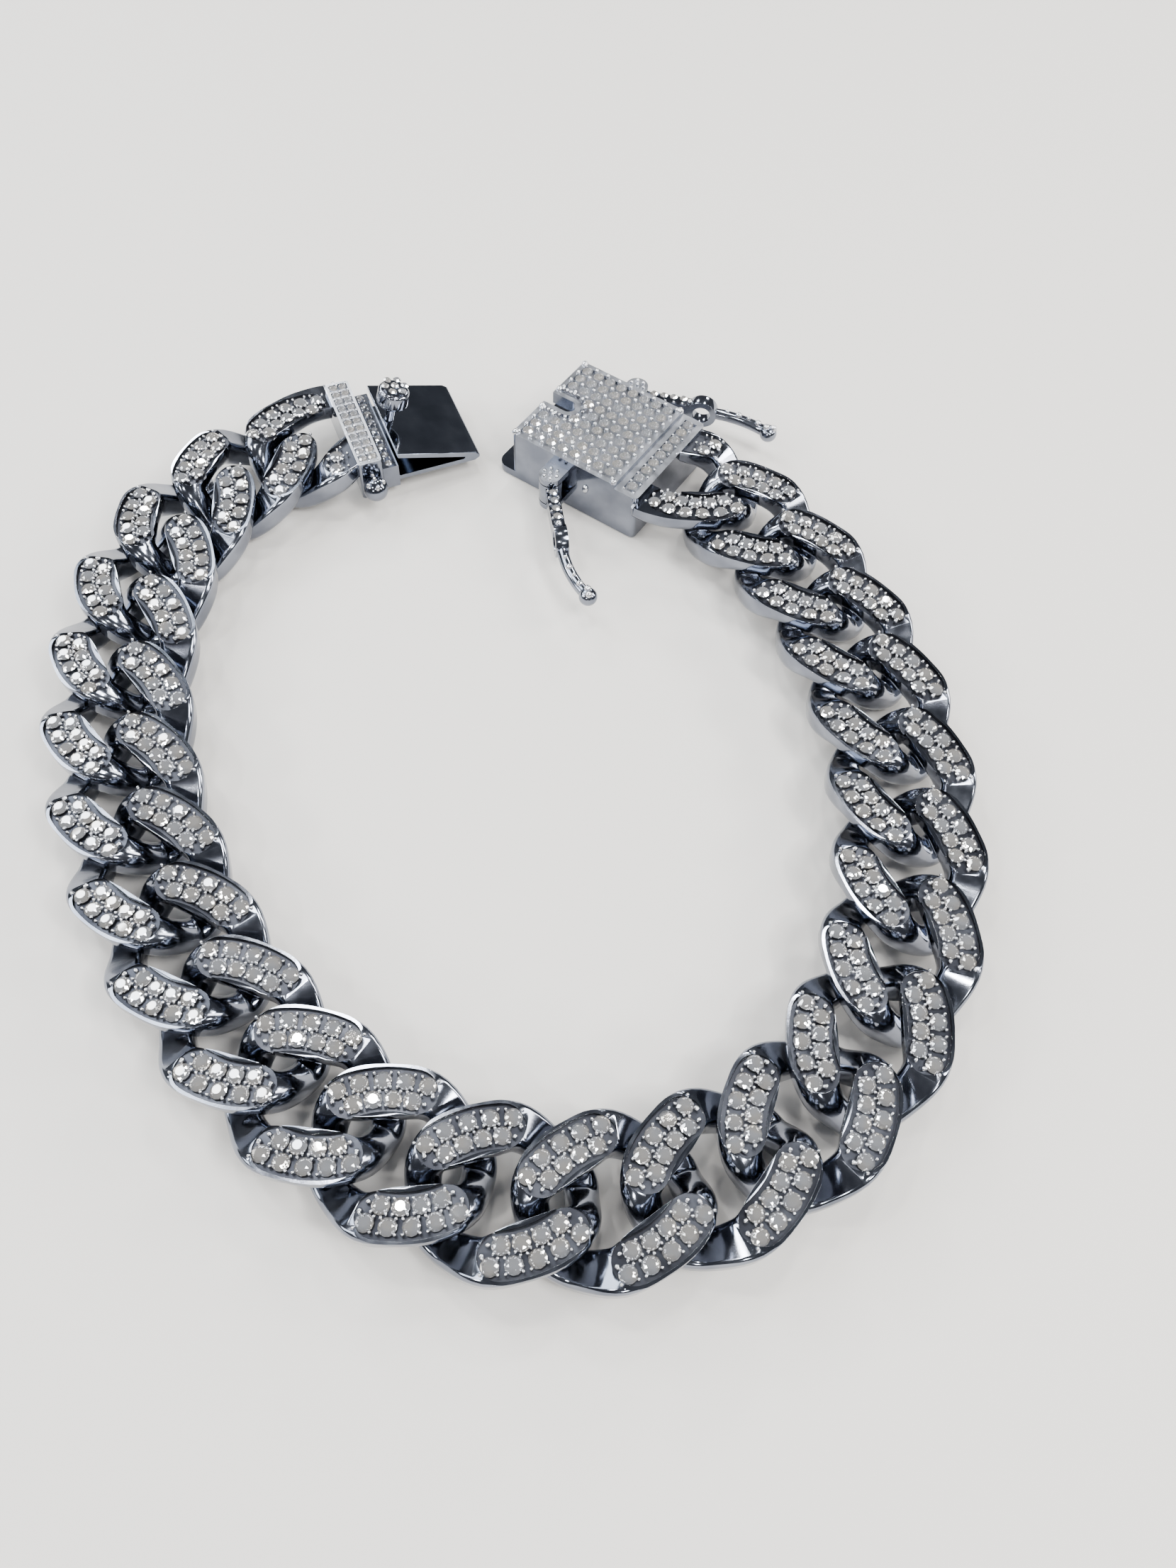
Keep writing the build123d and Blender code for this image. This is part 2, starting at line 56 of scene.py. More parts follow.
def makeActive(piece):
    deselectAll()
    piece.select_set(True)
    bpy.context.view_layer.objects.active = piece


def beginEdit(piece):
    makeActive(piece)
    bpy.ops.object.mode_set(mode="EDIT")
    bpy.ops.mesh.select_mode(type="FACE")
    bpy.ops.mesh.select_all(action="DESELECT")


def endEdit():
    bpy.ops.object.mode_set(mode="OBJECT")


def pickFaces(piece, wanted):
    shell = bmesh.from_edit_mesh(piece.data)
    for face in shell.faces:
        face.select_set(wanted(face))
    bmesh.update_edit_mesh(piece.data)


def cutOpen(place, normal, dropInner):
    # Cuts what is selected along a plane, drops one side of it and closes the cut.
    bpy.ops.mesh.bisect(
        plane_co=place,
        plane_no=normal,
        use_fill=True,
        clear_inner=dropInner,
        clear_outer=not dropInner,
        threshold=cutThreshold,
    )


def applyBevel(piece, width, angle, materialIndex=-1):
    makeActive(piece)
    bpy.ops.object.modifier_add(type="BEVEL")
    bevel = piece.modifiers[-1]
    bevel.width = width * mm
    bevel.segments = 2
    bevel.limit_method = "ANGLE"
    bevel.angle_limit = radians(angle)
    bevel.use_clamp_overlap = True
    bevel.material = materialIndex
    bpy.ops.object.modifier_apply(modifier=bevel.name)


def smoothShade(piece, angle):
    # Smooth over soft turns only, and keep the flats flat beside their eased edges.
    makeActive(piece)
    bpy.ops.object.shade_smooth_by_angle(angle=radians(angle))
    bpy.ops.object.modifier_add(type="WEIGHTED_NORMAL")
    evened = piece.modifiers[-1]
    evened.keep_sharp = True
    bpy.ops.object.modifier_apply(modifier=evened.name)


def copyPiece(original, name, place):
    piece = original.copy()
    piece.data = original.data.copy()
    piece.data.transform(place)
    piece.name = name
    piece.data.name = name
    bpy.context.scene.collection.objects.link(piece)
    return piece


def joinPieces(pieces, name):
    deselectAll()
    for piece in pieces:
        piece.select_set(True)
    bpy.context.view_layer.objects.active = pieces[0]
    bpy.ops.object.join()
    pieces[0].name = name
    pieces[0].data.name = name
    return pieces[0]


def dropPiece(piece):
    bpy.data.objects.remove(piece, do_unlink=True)


def setMaterial(piece, *materials):
    piece.data.materials.clear()
    for material in materials:
        piece.data.materials.append(material)


def settle(piece, body, slot, *nodes):
    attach(piece, body)
    if nodes:
        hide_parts(*nodes)


# The chain lies in a loop. Each link turns this many degrees from the one before it.
chain = {
    "pitch": 7.6,
    "links": 23,
    "midHeight": 2.77,
    "turns": [
        21, 20, 17, 12, 9, 8, 8, 8, 8, 9, 12, 14,
        17, 18, 18, 16, 14, 11, 9, 9, 9, 9, 11, 16,
    ],
}


def nodeMiddle(node):
    low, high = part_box(node)
    return (Vector(low) + Vector(high)) / 2


def linkPlaces():
    # Where each link stands: the line between two neighbours has the mean of their headings.
    middles = [nodeMiddle("link_%02d" % number) for number in range(1, chain["links"] + 1)]
    found = []
    for index, middle in enumerate(middles):
        if index + 1 < len(middles):
            ahead = middles[index + 1] - middle
            heading = atan2(ahead.y, ahead.x) - radians(chain["turns"][index + 1]) / 2
        else:
            behind = middle - middles[index - 1]
            heading = atan2(behind.y, behind.x) + radians(chain["turns"][index]) / 2
        found.append((middle.x, middle.y, heading))
    return found


def stepAlong(place, turn, way):
    # From one link's place to the next one's, forwards or backwards.
    half = chain["pitch"] / 2 * mm * way
    x, y, heading = place
    x += half * cos(heading)
    y += half * sin(heading)
    heading += way * radians(turn)
    return x + half * cos(heading), y + half * sin(heading), heading


def standing(place, height):
    x, y, heading = place
    return Matrix.Translation((x, y, height * mm)) @ Matrix.Rotation(heading, 4, "Z")


places = linkPlaces()
tongueX, tongueY, tongueHeading = stepAlong(places[0], chain["turns"][0], -1)
tonguePlace = (tongueX, tongueY, tongueHeading + pi)
boxPlace = stepAlong(places[-1], chain["turns"][-1], 1)
print("places found: box half at", [round(v, 5) for v in boxPlace])
print("tongue half at", [round(v, 5) for v in tonguePlace])


def shaderOf(name):
    material = bpy.data.materials.new(name)
    material.use_nodes = True
    return material, material.node_tree, material.node_tree.nodes["Principled BSDF"]


def noiseOn(tree, scale, detail):
    place = tree.nodes.new("ShaderNodeTexCoord")
    noise = tree.nodes.new("ShaderNodeTexNoise")
    noise.inputs["Scale"].default_value = scale
    noise.inputs["Detail"].default_value = detail
    tree.links.new(place.outputs["Object"], noise.inputs["Vector"])
    return noise


def rampFrom(tree, source, low, high, dark, light):
    ramp = tree.nodes.new("ShaderNodeValToRGB")
    ramp.color_ramp.elements[0].position = low
    ramp.color_ramp.elements[0].color = dark
    ramp.color_ramp.elements[1].position = high
    ramp.color_ramp.elements[1].color = light
    tree.links.new(source, ramp.inputs["Fac"])
    return ramp


# Metals: their dark and light tone, roughness from and to, and strength of the polishing marks.
plateTones = {
    "rhodiumPlate": ((0.16, 0.175, 0.215, 1), (0.26, 0.28, 0.33, 1), 0.09, 0.16, 0.12),
    # The bed metal is painted near black: painted shade in the sunk beds between the stones.
    "rhodiumBedPaintedShade": ((0.03, 0.032, 0.04, 1), (0.07, 0.075, 0.09, 1), 0.30, 0.45, 0.30),
    # The bead metal is painted lighter than the plate: a painted highlight on the beads.
    "beadPlateHighlight": ((0.50, 0.51, 0.54, 1), (0.64, 0.65, 0.68, 1), 0.12, 0.20, 0.05),
    "springPlate": ((0.16, 0.18, 0.22, 1), (0.24, 0.26, 0.31, 1), 0.06, 0.12, 0.08),
    # The rim metal is painted much lighter than the plate: a painted highlight on the eased edges.
    "rimPlateHighlight": ((0.58, 0.60, 0.64, 1), (0.74, 0.76, 0.80, 1), 0.10, 0.18, 0.05),
    # The ground metal is painted lighter for the level tops of roof and bars: painted light falling
    # on them.
    "groundPlateLit": ((0.38, 0.40, 0.44, 1), (0.52, 0.54, 0.59, 1), 0.26, 0.40, 0.30),
}
# Their noises: scale and detail of each, and the part of its range that counts.
plateGrain = {
    "cloud": (260.0, 3.0),
    "cloudRange": (0.35, 0.65),
    "haze": (900.0, 4.0),
    "hazeRange": (0.3, 0.7),
    "marks": (5200.0, 2.0),
    "markDepth": 0.01,
}


def polishedMetal(name):
    # Mirror plate: colour and gloss drift a little, with very fine polishing marks.
    dark, light, roughLow, roughHigh, scratch = plateTones[name]
    material, tree, shader = shaderOf(name)
    shader.inputs["Metallic"].default_value = 1.0
    cloud = noiseOn(tree, *plateGrain["cloud"])
    tint = rampFrom(tree, cloud.outputs["Fac"], *plateGrain["cloudRange"], dark, light)
    tree.links.new(tint.outputs["Color"], shader.inputs["Base Color"])
    haze = noiseOn(tree, *plateGrain["haze"])
    gloss = tree.nodes.new("ShaderNodeMapRange")
    gloss.inputs["From Min"].default_value = plateGrain["hazeRange"][0]
    gloss.inputs["From Max"].default_value = plateGrain["hazeRange"][1]
    gloss.inputs["To Min"].default_value = roughLow
    gloss.inputs["To Max"].default_value = roughHigh
    tree.links.new(haze.outputs["Fac"], gloss.inputs["Value"])
    tree.links.new(gloss.outputs["Result"], shader.inputs["Roughness"])
    marks = noiseOn(tree, *plateGrain["marks"])
    bump = tree.nodes.new("ShaderNodeBump")
    bump.inputs["Strength"].default_value = scratch
    bump.inputs["Distance"].default_value = plateGrain["markDepth"] * mm
    tree.links.new(marks.outputs["Fac"], bump.inputs["Height"])
    tree.links.new(bump.outputs["Normal"], shader.inputs["Normal"])
    return material


# Part mirror and part clear, so that the facets stand out in a pale room.
crystalTone = {
    "bending": 2.15,
    "mirror": 0.45,
    "clear": 0.8,
    "cool": (0.90, 0.92, 0.96, 1),
    # The warm tint is a painted reflection of warm gold surroundings.
    "warmReflection": (1.0, 0.96, 0.90, 1),
    "cloud": (700.0, 1.0),
    "cloudRange": (0.38, 0.62),
    "haze": 0.06,
}


def clearStone(name):
    # Cut crystal, with a faint drift of haze from stone to stone, and of tint from cool to a warm
    # painted reflection.
    material, tree, shader = shaderOf(name)
    shader.inputs["IOR"].default_value = crystalTone["bending"]
    shader.inputs["Metallic"].default_value = crystalTone["mirror"]
    shader.inputs["Transmission Weight"].default_value = crystalTone["clear"]
    cloud = noiseOn(tree, *crystalTone["cloud"])
    cool, warmReflection = crystalTone["cool"], crystalTone["warmReflection"]
    tint = rampFrom(tree, cloud.outputs["Fac"], *crystalTone["cloudRange"], cool, warmReflection)
    tree.links.new(tint.outputs["Color"], shader.inputs["Base Color"])
    haze = tree.nodes.new("ShaderNodeMapRange")
    haze.inputs["To Min"].default_value = 0.0
    haze.inputs["To Max"].default_value = crystalTone["haze"]
    tree.links.new(cloud.outputs["Fac"], haze.inputs["Value"])
    tree.links.new(haze.outputs["Result"], shader.inputs["Roughness"])
    return material


rhodium = polishedMetal("rhodiumPlate")
shadedBedMetal = polishedMetal("rhodiumBedPaintedShade")
beadHighlightMetal = polishedMetal("beadPlateHighlight")
springMetal = polishedMetal("springPlate")
rimHighlightMetal = polishedMetal("rimPlateHighlight")
litTopMetal = polishedMetal("groundPlateLit")
crystal = clearStone("cutCrystal")
print("finishes made")


# Wire of a link: middle of each section along, across and up, then its width, height and the
# rounding of its upper edges, in mm.
linkForm = {
    "sections": {
        "lowByTip": (-5.30, -1.15, -1.25, 2.44, 2.24, 0.90),
        "risingEnd": (-5.56, 0.85, 0.85, 2.66, 2.86, 1.15),
        "bluntEnd": (-4.35, 2.30, 1.90, 3.56, 2.66, 0.80),
        "midField": (-2.19, 3.60, 1.65, 3.66, 2.46, 0.46),
        "fieldFoot": (0.05, 4.55, 0.50, 3.06, 2.66, 0.46),
        "goingUnder": (2.70, 3.90, -1.30, 2.56, 2.26, 0.50),
        "lowest": (4.65, 2.65, -1.55, 2.46, 2.26, 0.60),
    },
    "barSections": {
        "levelField": (0.17, 4.65, 1.30, 3.36, 2.46, 0.46),
        "atBar": (2.81, 4.75, 1.20, 3.26, 2.66, 0.46),
        "insideBar": (3.90, 3.20, 0.20, 1.40, 1.40, 0.30),
        "insideMiddle": (4.00, 0.40, 0.20, 1.40, 1.40, 0.30),
    },
    "openAtBar": 2.5,
    "underRound": 1.05,
    "topShare": 0.45,  # most that the rounding takes of a narrow section
    "underShare": 0.48,
    "along": 84,
    "cornerSteps": 5,
    "crest": (-5.56, 0.85, 2.69),
    "fall": 5.7,
    "diagonal": 20.9,
    "edgeBevel": 0.075,
    "easeAngle": 38,
}

# Fields of the links: a sunk bed bent along the wire, and two staggered rows of stones with the
# beads that hold them.
pave = {
    "fieldStart": (-4.74, 1.84),
    "fieldMiddle": (-2.22, 3.66),
    "fieldEnd": (-0.90, 4.14),
    "barFieldEnd": (0.31, 4.18),
    "bedWidth": 3.16,
    "bedDepth": 0.34,
    "bedCutter": 1.5,
    "stone": 1.30,
    "stoneStep": 1.47,
    "rowOffset": 0.65,
    "perRow": 5,
    "barPerRow": 6,
    "barEdge": 1.7,
    "beadsPastEdge": 0.4,
    "bead": 0.29,
    "beadReach": 0.72,
    "beadSink": -0.05,
    "fillBead": 0.40,
    "fillSink": -0.10,
    "endBeads": ((0.20, 0.70), (0.55, 0.0)),
    "tableRise": 0.12,
    "spin": 0.7,
    "sway": 7.0,
    "swayTurn": 5.3,
}


def sectionAt(rows, position):
    # Smooth closed run through the rows.
    count = len(rows)
    index = int(position) % count
    share = position - int(position)
    before, here, after, beyond = [rows[(index + step) % count] for step in (-1, 0, 1, 2)]
    values = []
    for a, b, c, d in zip(before, here, after, beyond):
        slopeHere = (c - a) / 2
        slopeAfter = (d - b) / 2
        square = share * share
        cube = square * share
        start = 2 * cube - 3 * square + 1
        end = 3 * square - 2 * cube
        leaving = (cube - 2 * square + share) * slopeHere
        arriving = (cube - square) * slopeAfter
        values.append(start * b + leaving + end * c + arriving)
    return values


def profilePoints(wide, high, topRound):
    topShare = linkForm["topShare"]
    underShare = linkForm["underShare"]
    top = min(topRound, topShare * wide, topShare * high)
    under = min(linkForm["underRound"], underShare * wide, underShare * high)
    corners = [
        (wide / 2 - top, high / 2 - top, 0, top),
        (top - wide / 2, high / 2 - top, 90, top),
        (under - wide / 2, under - high / 2, 180, under),
        (wide / 2 - under, under - high / 2, 270, under),
    ]
    points = []
    for x, y, start, radius in corners:
        for step in range(linkForm["cornerSteps"] + 1):
            angle = radians(start + 90 * step / linkForm["cornerSteps"])
            points.append((x + radius * cos(angle), y + radius * sin(angle)))
    return points


def wireRing(name, rows):
    # A torus, drawn out so that its tube runs through the link's sections.
    along = linkForm["along"]
    around = 4 * (linkForm["cornerSteps"] + 1)
    nudge = 0.01
    deselectAll()
    bpy.ops.mesh.primitive_torus_add(
        major_segments=along, minor_segments=around, major_radius=5 * mm, minor_radius=mm
    )
    ring = bpy.context.object
    ring.name = name
    up = Vector((0, 0, 1))
    for major in range(along):
        position = len(rows) * major / along
        x, y, z, *profile = sectionAt(rows, position)
        ahead = Vector(sectionAt(rows, position + nudge)[:3])
        behind = Vector(sectionAt(rows, position - nudge + len(rows))[:3])
        travel = (ahead - behind).normalized()
        side = travel.cross(up).normalized()
        rise = side.cross(travel)
        for minor, (u, v) in enumerate(profilePoints(*profile)):
            point = Vector((x, y, z)) + side * u + rise * v
            ring.data.vertices[major * around + minor].co = point * mm
    ring.data.update()
    return ring


def fieldNormal(side):
    fall = radians(linkForm["fall"])
    foot = linkForm["sections"]["fieldFoot"]
    blunt = linkForm["sections"]["bluntEnd"]
    slope = Vector((foot[0] - blunt[0], foot[1] - blunt[1], 0)).normalized()
    return Vector((side * slope.x * sin(fall), side * slope.y * sin(fall), cos(fall)))


def fieldCrest(side):
    x, y, z = linkForm["crest"]
    return Vector((side * x, side * y, z)) * mm


def onField(side, x, y):
    # Height of the flat field over a point in plan, in metres.
    normal = fieldNormal(side)
    crest = fieldCrest(side)
    return crest.z - (normal.x * (x - crest.x) + normal.y * (y - crest.y)) / normal.z


def bowThrough(start, middle, end):
    # Circle through three points in plan: centre, radius, first and last angle.
    (ax, ay), (bx, by), (cx, cy) = start, middle, end
    double = 2 * (ax * (by - cy) + bx * (cy - ay) + cx * (ay - by))
    squares = (ax * ax + ay * ay, bx * bx + by * by, cx * cx + cy * cy)
    x = (squares[0] * (by - cy) + squares[1] * (cy - ay) + squares[2] * (ay - by)) / double
    y = (squares[0] * (cx - bx) + squares[1] * (ax - cx) + squares[2] * (bx - ax)) / double
    radius = sqrt((ax - x) ** 2 + (ay - y) ** 2)
    return x, y, radius, atan2(ay - y, ax - x), atan2(cy - y, cx - x)


def onBow(bow, run, offset):
    # Plan point at a distance past the middle of the bow, and off it to its outer side.
    x, y, radius, first, last = bow
    angle = (first + last) / 2 - run / radius
    return x + (radius + offset) * cos(angle), y + (radius + offset) * sin(angle)


def bowLength(bow):
    return (bow[3] - bow[4]) * bow[2]


def slotOutline(bow):
    # Long sides along the bow, joined by round ends.
    half = pave["bedWidth"] / 2
    reach = bowLength(bow) / 2
    steps = 12
    runs = [reach * (2 * step / steps - 1) for step in range(steps + 1)]
    points = [onBow(bow, run, half) for run in runs]
    for end, side in ((1, 1), (-1, -1)):
        x, y = onBow(bow, end * reach, 0)
        edge = onBow(bow, end * reach, side * half)
        start = atan2(edge[1] - y, edge[0] - x)
        for step in range(1, steps):
            angle = start - pi * step / steps
            points.append((x + half * cos(angle), y + half * sin(angle)))
        if end == 1:
            points += [onBow(bow, run, -half) for run in reversed(runs)]
    return points


def cutField(ring, side, last):
    # Cut the lobe flat, then sink the bed for its stones.
    normal = fieldNormal(side)
    lean = radians(linkForm["diagonal"])
    across = Vector((-sin(lean), cos(lean), 0)) * side
    beginEdit(ring)
    pickFaces(ring, lambda face: face.calc_center_median().dot(across) > 0)
    cutOpen(fieldCrest(side), normal, False)
    endEdit()
    outline = slotOutline(bowThrough(pave["fieldStart"], pave["fieldMiddle"], last))
    deselectAll()
    bpy.ops.mesh.primitive_circle_add(vertices=len(outline), radius=mm, fill_type="NGON")
    cutter = bpy.context.object
    for corner, (x, y) in zip(cutter.data.vertices, outline):
        x *= side * mm
        y *= side * mm
        corner.co = Vector((x, y, onField(side, x, y))) - normal * pave["bedDepth"] * mm
    beginEdit(cutter)
    bpy.ops.mesh.select_all(action="SELECT")
    lift = normal * pave["bedCutter"] * mm
    bpy.ops.mesh.extrude_region_move(TRANSFORM_OT_translate={"value": lift})
    bpy.ops.mesh.select_all(action="SELECT")
    bpy.ops.mesh.normals_make_consistent(inside=False)
    endEdit()
    # The cutter's faces carry the bed metal, so the sunk bed takes its painted shade.
    setMaterial(cutter, rhodium, shadedBedMetal)
    for face in cutter.data.polygons:
        face.material_index = 1
    makeActive(ring)
    bpy.ops.object.modifier_add(type="BOOLEAN")
    sunk = ring.modifiers[-1]
    sunk.operation = "DIFFERENCE"
    sunk.solver = "EXACT"
    sunk.object = cutter
    bpy.ops.object.modifier_apply(modifier=sunk.name)
    dropPiece(cutter)


def linkMetal(name, rows, lastField, openAt):
    ring = wireRing(name, rows)
    setMaterial(ring, rhodium, shadedBedMetal, rimHighlightMetal)
    cutField(ring, 1, lastField)
    cutField(ring, -1, pave["fieldEnd"])
    if openAt is not None:
        beginEdit(ring)
        bpy.ops.mesh.select_all(action="SELECT")
        cutOpen((openAt * mm, 0, 0), (1, 0, 0), False)
        endEdit()
    # The eased edges take the third material, the rim metal, painted lighter as a highlight along
    # them.
    applyBevel(ring, linkForm["edgeBevel"], linkForm["easeAngle"], materialIndex=2)
    smoothShade(ring, linkForm["easeAngle"])
    return ring


def halfTurned(row):
    return -row[0], -row[1], *row[2:]


sections = linkForm["sections"]
wholeRows = list(sections.values()) + [halfTurned(row) for row in sections.values()]
linkRing = linkMetal("linkRing", wholeRows, pave["fieldEnd"], None)
print("link modelled:", len(linkRing.data.polygons), "faces")

# A half link is the far part of a whole one, with its wire led into the clasp's bar.
names = list(sections)
outerRows = [halfTurned(sections[name]) for name in names[2:]]
innerRows = [sections[name] for name in names[:4]]
halfRows = outerRows + innerRows + list(linkForm["barSections"].values())
halfRing = linkMetal("halfRing", halfRows, pave["barFieldEnd"], linkForm["openAtBar"])
print("half link modelled:", len(halfRing.data.polygons), "faces")


# Round cut, in shares of the diameter. Each ring of crown facets narrows by the first number and
# rises by the second.
cut = {
    "sides": 12,
    "girdle": 0.03,
    "crown": ((0.76, 0.115), (0.68, 0.085)),
    "depth": 0.42,
}

# Beads are small and many, so they have few faces.
beadForm = {
    "segments": 7,
    "rings": 5,
    "tall": 1.4,
    "fillTall": 1.2,
    "roofTall": 1.5,
}


def cutStone(name, diameter):
    # Girdle, two rings of crown facets round the table, and a cone of facets below.
    deselectAll()
    sides = cut["sides"]
    size = diameter * mm
    bpy.ops.mesh.primitive_cylinder_add(vertices=sides, radius=size / 2, depth=cut["girdle"] * size)
    stone = bpy.context.object
    stone.name = name
    for share, rise in cut["crown"]:
        beginEdit(stone)
        level = max(corner.co.z for corner in stone.data.vertices)
        pickFaces(
            stone,
            lambda face: face.normal.z > nearlyLevel
            and face.calc_center_median().z > level - hair,
        )
        bpy.ops.mesh.extrude_region_move(TRANSFORM_OT_translate={"value": (0, 0, rise * size)})
        bpy.ops.transform.resize(value=(share, share, 1), center_override=(0, 0, 0))
        bpy.ops.transform.rotate(value=pi / sides, orient_axis="Z", center_override=(0, 0, 0))
        endEdit()
    beginEdit(stone)
    pickFaces(stone, lambda face: face.normal.z < -nearlyLevel)
    point = (0, 0, -cut["depth"] * size)
    bpy.ops.mesh.extrude_region_move(TRANSFORM_OT_translate={"value": point})
    bpy.ops.mesh.merge(type="CENTER")
    bpy.ops.mesh.select_all(action="SELECT")
    bpy.ops.mesh.quads_convert_to_tris(quad_method="SHORTEST_DIAGONAL")
    bpy.ops.mesh.normals_make_consistent(inside=False)
    endEdit()
    setMaterial(stone, crystal)
    return stone


def roundBead(name, diameter, stretch):
    deselectAll()
    bpy.ops.mesh.primitive_uv_sphere_add(
        segments=beadForm["segments"], ring_count=beadForm["rings"], radius=diameter / 2 * mm
    )
    made = bpy.context.object
    made.name = name
    bpy.ops.transform.resize(value=(1, 1, stretch), center_override=(0, 0, 0))
    bpy.ops.object.transform_apply(location=True, rotation=True, scale=True)
    # Beads take the lighter bead metal, which paints their highlight.
    setMaterial(made, beadHighlightMetal)
    bpy.ops.object.shade_smooth()
    return made


def onTilt(side, x, y, rise, spin):
    # Stands a stone or bead square on the tilted field.
    normal = fieldNormal(side)
    base = Vector((x, y, onField(side, x, y))) + normal * rise * mm
    lean = Vector((0, 0, 1)).rotation_difference(normal).to_matrix().to_4x4()
    sway = Matrix.Rotation(radians(pave["sway"]) * sin(pave["swayTurn"] * spin), 4, "X")
    return Matrix.Translation(base) @ lean @ Matrix.Rotation(spin, 4, "Z") @ sway


paveStone = cutStone("paveStone", pave["stone"])
paveBead = roundBead("paveBead", pave["bead"], beadForm["tall"])
fillBead = roundBead("fillBead", pave["fillBead"], beadForm["fillTall"])
crownRise = (cut["girdle"] / 2 + sum(rise for share, rise in cut["crown"])) * pave["stone"]
stoneRise = pave["tableRise"] - crownRise  # where a stone's middle stands over the field


def paveSet(name, fields):
    # The longer row lies along the link's outer edge. Every stone has four beads round it, and two
    # larger ones fill each end of the field.
    stones = []
    beads = []

    def put(original, kept, run, offset, rise, spin, edge):
        x, y = onBow(bow, run, offset)
        if side * x < edge:
            place = onTilt(side, side * x * mm, side * y * mm, rise, spin)
            kept.append(copyPiece(original, original.name, place))

    reach = pave["beadReach"] / sqrt(2)
    step = pave["stoneStep"]
    for side, last, count, limit in fields:
        bow = bowThrough(pave["fieldStart"], pave["fieldMiddle"], last)
        beadLimit = limit + pave["beadsPastEdge"]
        for row, stonesInRow in ((1, count), (-1, count - 1)):
            offset = row * pave["rowOffset"]
            for index in range(stonesInRow):
                run = (index - (stonesInRow - 1) / 2) * step
                put(paveStone, stones, run, offset, stoneRise, pave["spin"] * (index + row), limit)
                for ahead in (-reach, reach):
                    for outward in (-reach, reach):
                        spot = (run + ahead, offset + outward)
                        put(paveBead, beads, *spot, pave["beadSink"], 0, beadLimit)
        for ahead in (-1, 1):
            for beyond, inward in pave["endBeads"]:
                run = ahead * ((count - 1) / 2 * step + beyond)
                put(fillBead, beads, run, -inward, pave["fillSink"], 0, beadLimit)
    return joinPieces(stones, name + "Stones"), joinPieces(beads, name + "Beads")


freeEnd = linkForm["sections"]["lowest"][0] * 2  # beyond every stone of a whole link
wholeField = (pave["fieldEnd"], pave["perRow"], freeEnd)
barField = (pave["barFieldEnd"], pave["barPerRow"], pave["barEdge"])
innerField = (pave["fieldEnd"], pave["perRow"], pave["barEdge"])
linkStones, linkBeads = paveSet("link", [(1, *wholeField), (-1, *wholeField)])
halfStones, halfBeads = paveSet("half", [(1, *barField), (-1, *innerField)])
print("stones of a link:", len(linkStones.data.polygons), "faces")
print("beads of a link:", len(linkBeads.data.polygons), "faces")

for number, place in enumerate(places, 1):
    stand = standing(place, chain["midHeight"])
    metal = copyPiece(linkRing, "linkMetal%02d" % number, stand)
    settle(metal, "bracelet", "plated_metal", "link_%02d" % number)
    settle(copyPiece(linkStones, "linkStones%02d" % number, stand), "bracelet", "stones")
    settle(copyPiece(linkBeads, "linkBeads%02d" % number, stand), "bracelet", "plated_metal")
print("chain laid:", len(places), "links")

for half, place in (("box", boxPlace), ("tongue", tonguePlace)):
    stand = standing(place, chain["midHeight"])
    settle(copyPiece(halfRing, half + "LinkMetal", stand), "bracelet", "plated_metal")
    settle(copyPiece(halfStones, half + "LinkStones", stand), "bracelet", "stones")
    settle(copyPiece(halfBeads, half + "LinkBeads", stand), "bracelet", "plated_metal")

for piece in (linkRing, linkStones, linkBeads, halfRing, halfStones, halfBeads):
    dropPiece(piece)
for piece in (paveStone, paveBead, fillBead):
    dropPiece(piece)


# The clasp, in mm along and across it from the centre of the link that its bar takes the place of.
clasp = {
    "barFace": 2.3,
    "mergeGap": 0.002,
    "flatAngle": 1,
    "edgeBevel": 0.09,
    "springBevel": 0.05,
    "easeAngle": 40,
    "litTopDepth": 1.2,
    "bead": 0.44,
    "smallBead": 0.30,
    "cornerBead": 0.70,
    "stone": 1.08,
    "smallStone": 0.72,
}


def carriedOver(node, name, place=None):
    # The node's own solid, ready for eased edges. A half link on it is cut away at its place.
    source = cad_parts[node]
    piece = source.copy()
    piece.data = source.data.copy()
    piece.parent = None
    piece.data.transform(source.matrix_world)
    piece.matrix_world = Matrix.Identity(4)
    piece.name = name
    piece.data.name = name
    bpy.context.scene.collection.objects.link(piece)
    beginEdit(piece)
    bpy.ops.mesh.select_all(action="SELECT")
    bpy.ops.mesh.remove_doubles(threshold=clasp["mergeGap"] * mm)
    if place is not None:
        stand = standing(place, 0)
        face = stand @ Vector((clasp["barFace"] * mm, 0, 0))
        cutOpen(face, stand.to_3x3() @ Vector((1, 0, 0)), True)
    bpy.ops.mesh.select_all(action="SELECT")
    bpy.ops.mesh.dissolve_limited(angle_limit=radians(clasp["flatAngle"]))
    endEdit()
    return piece


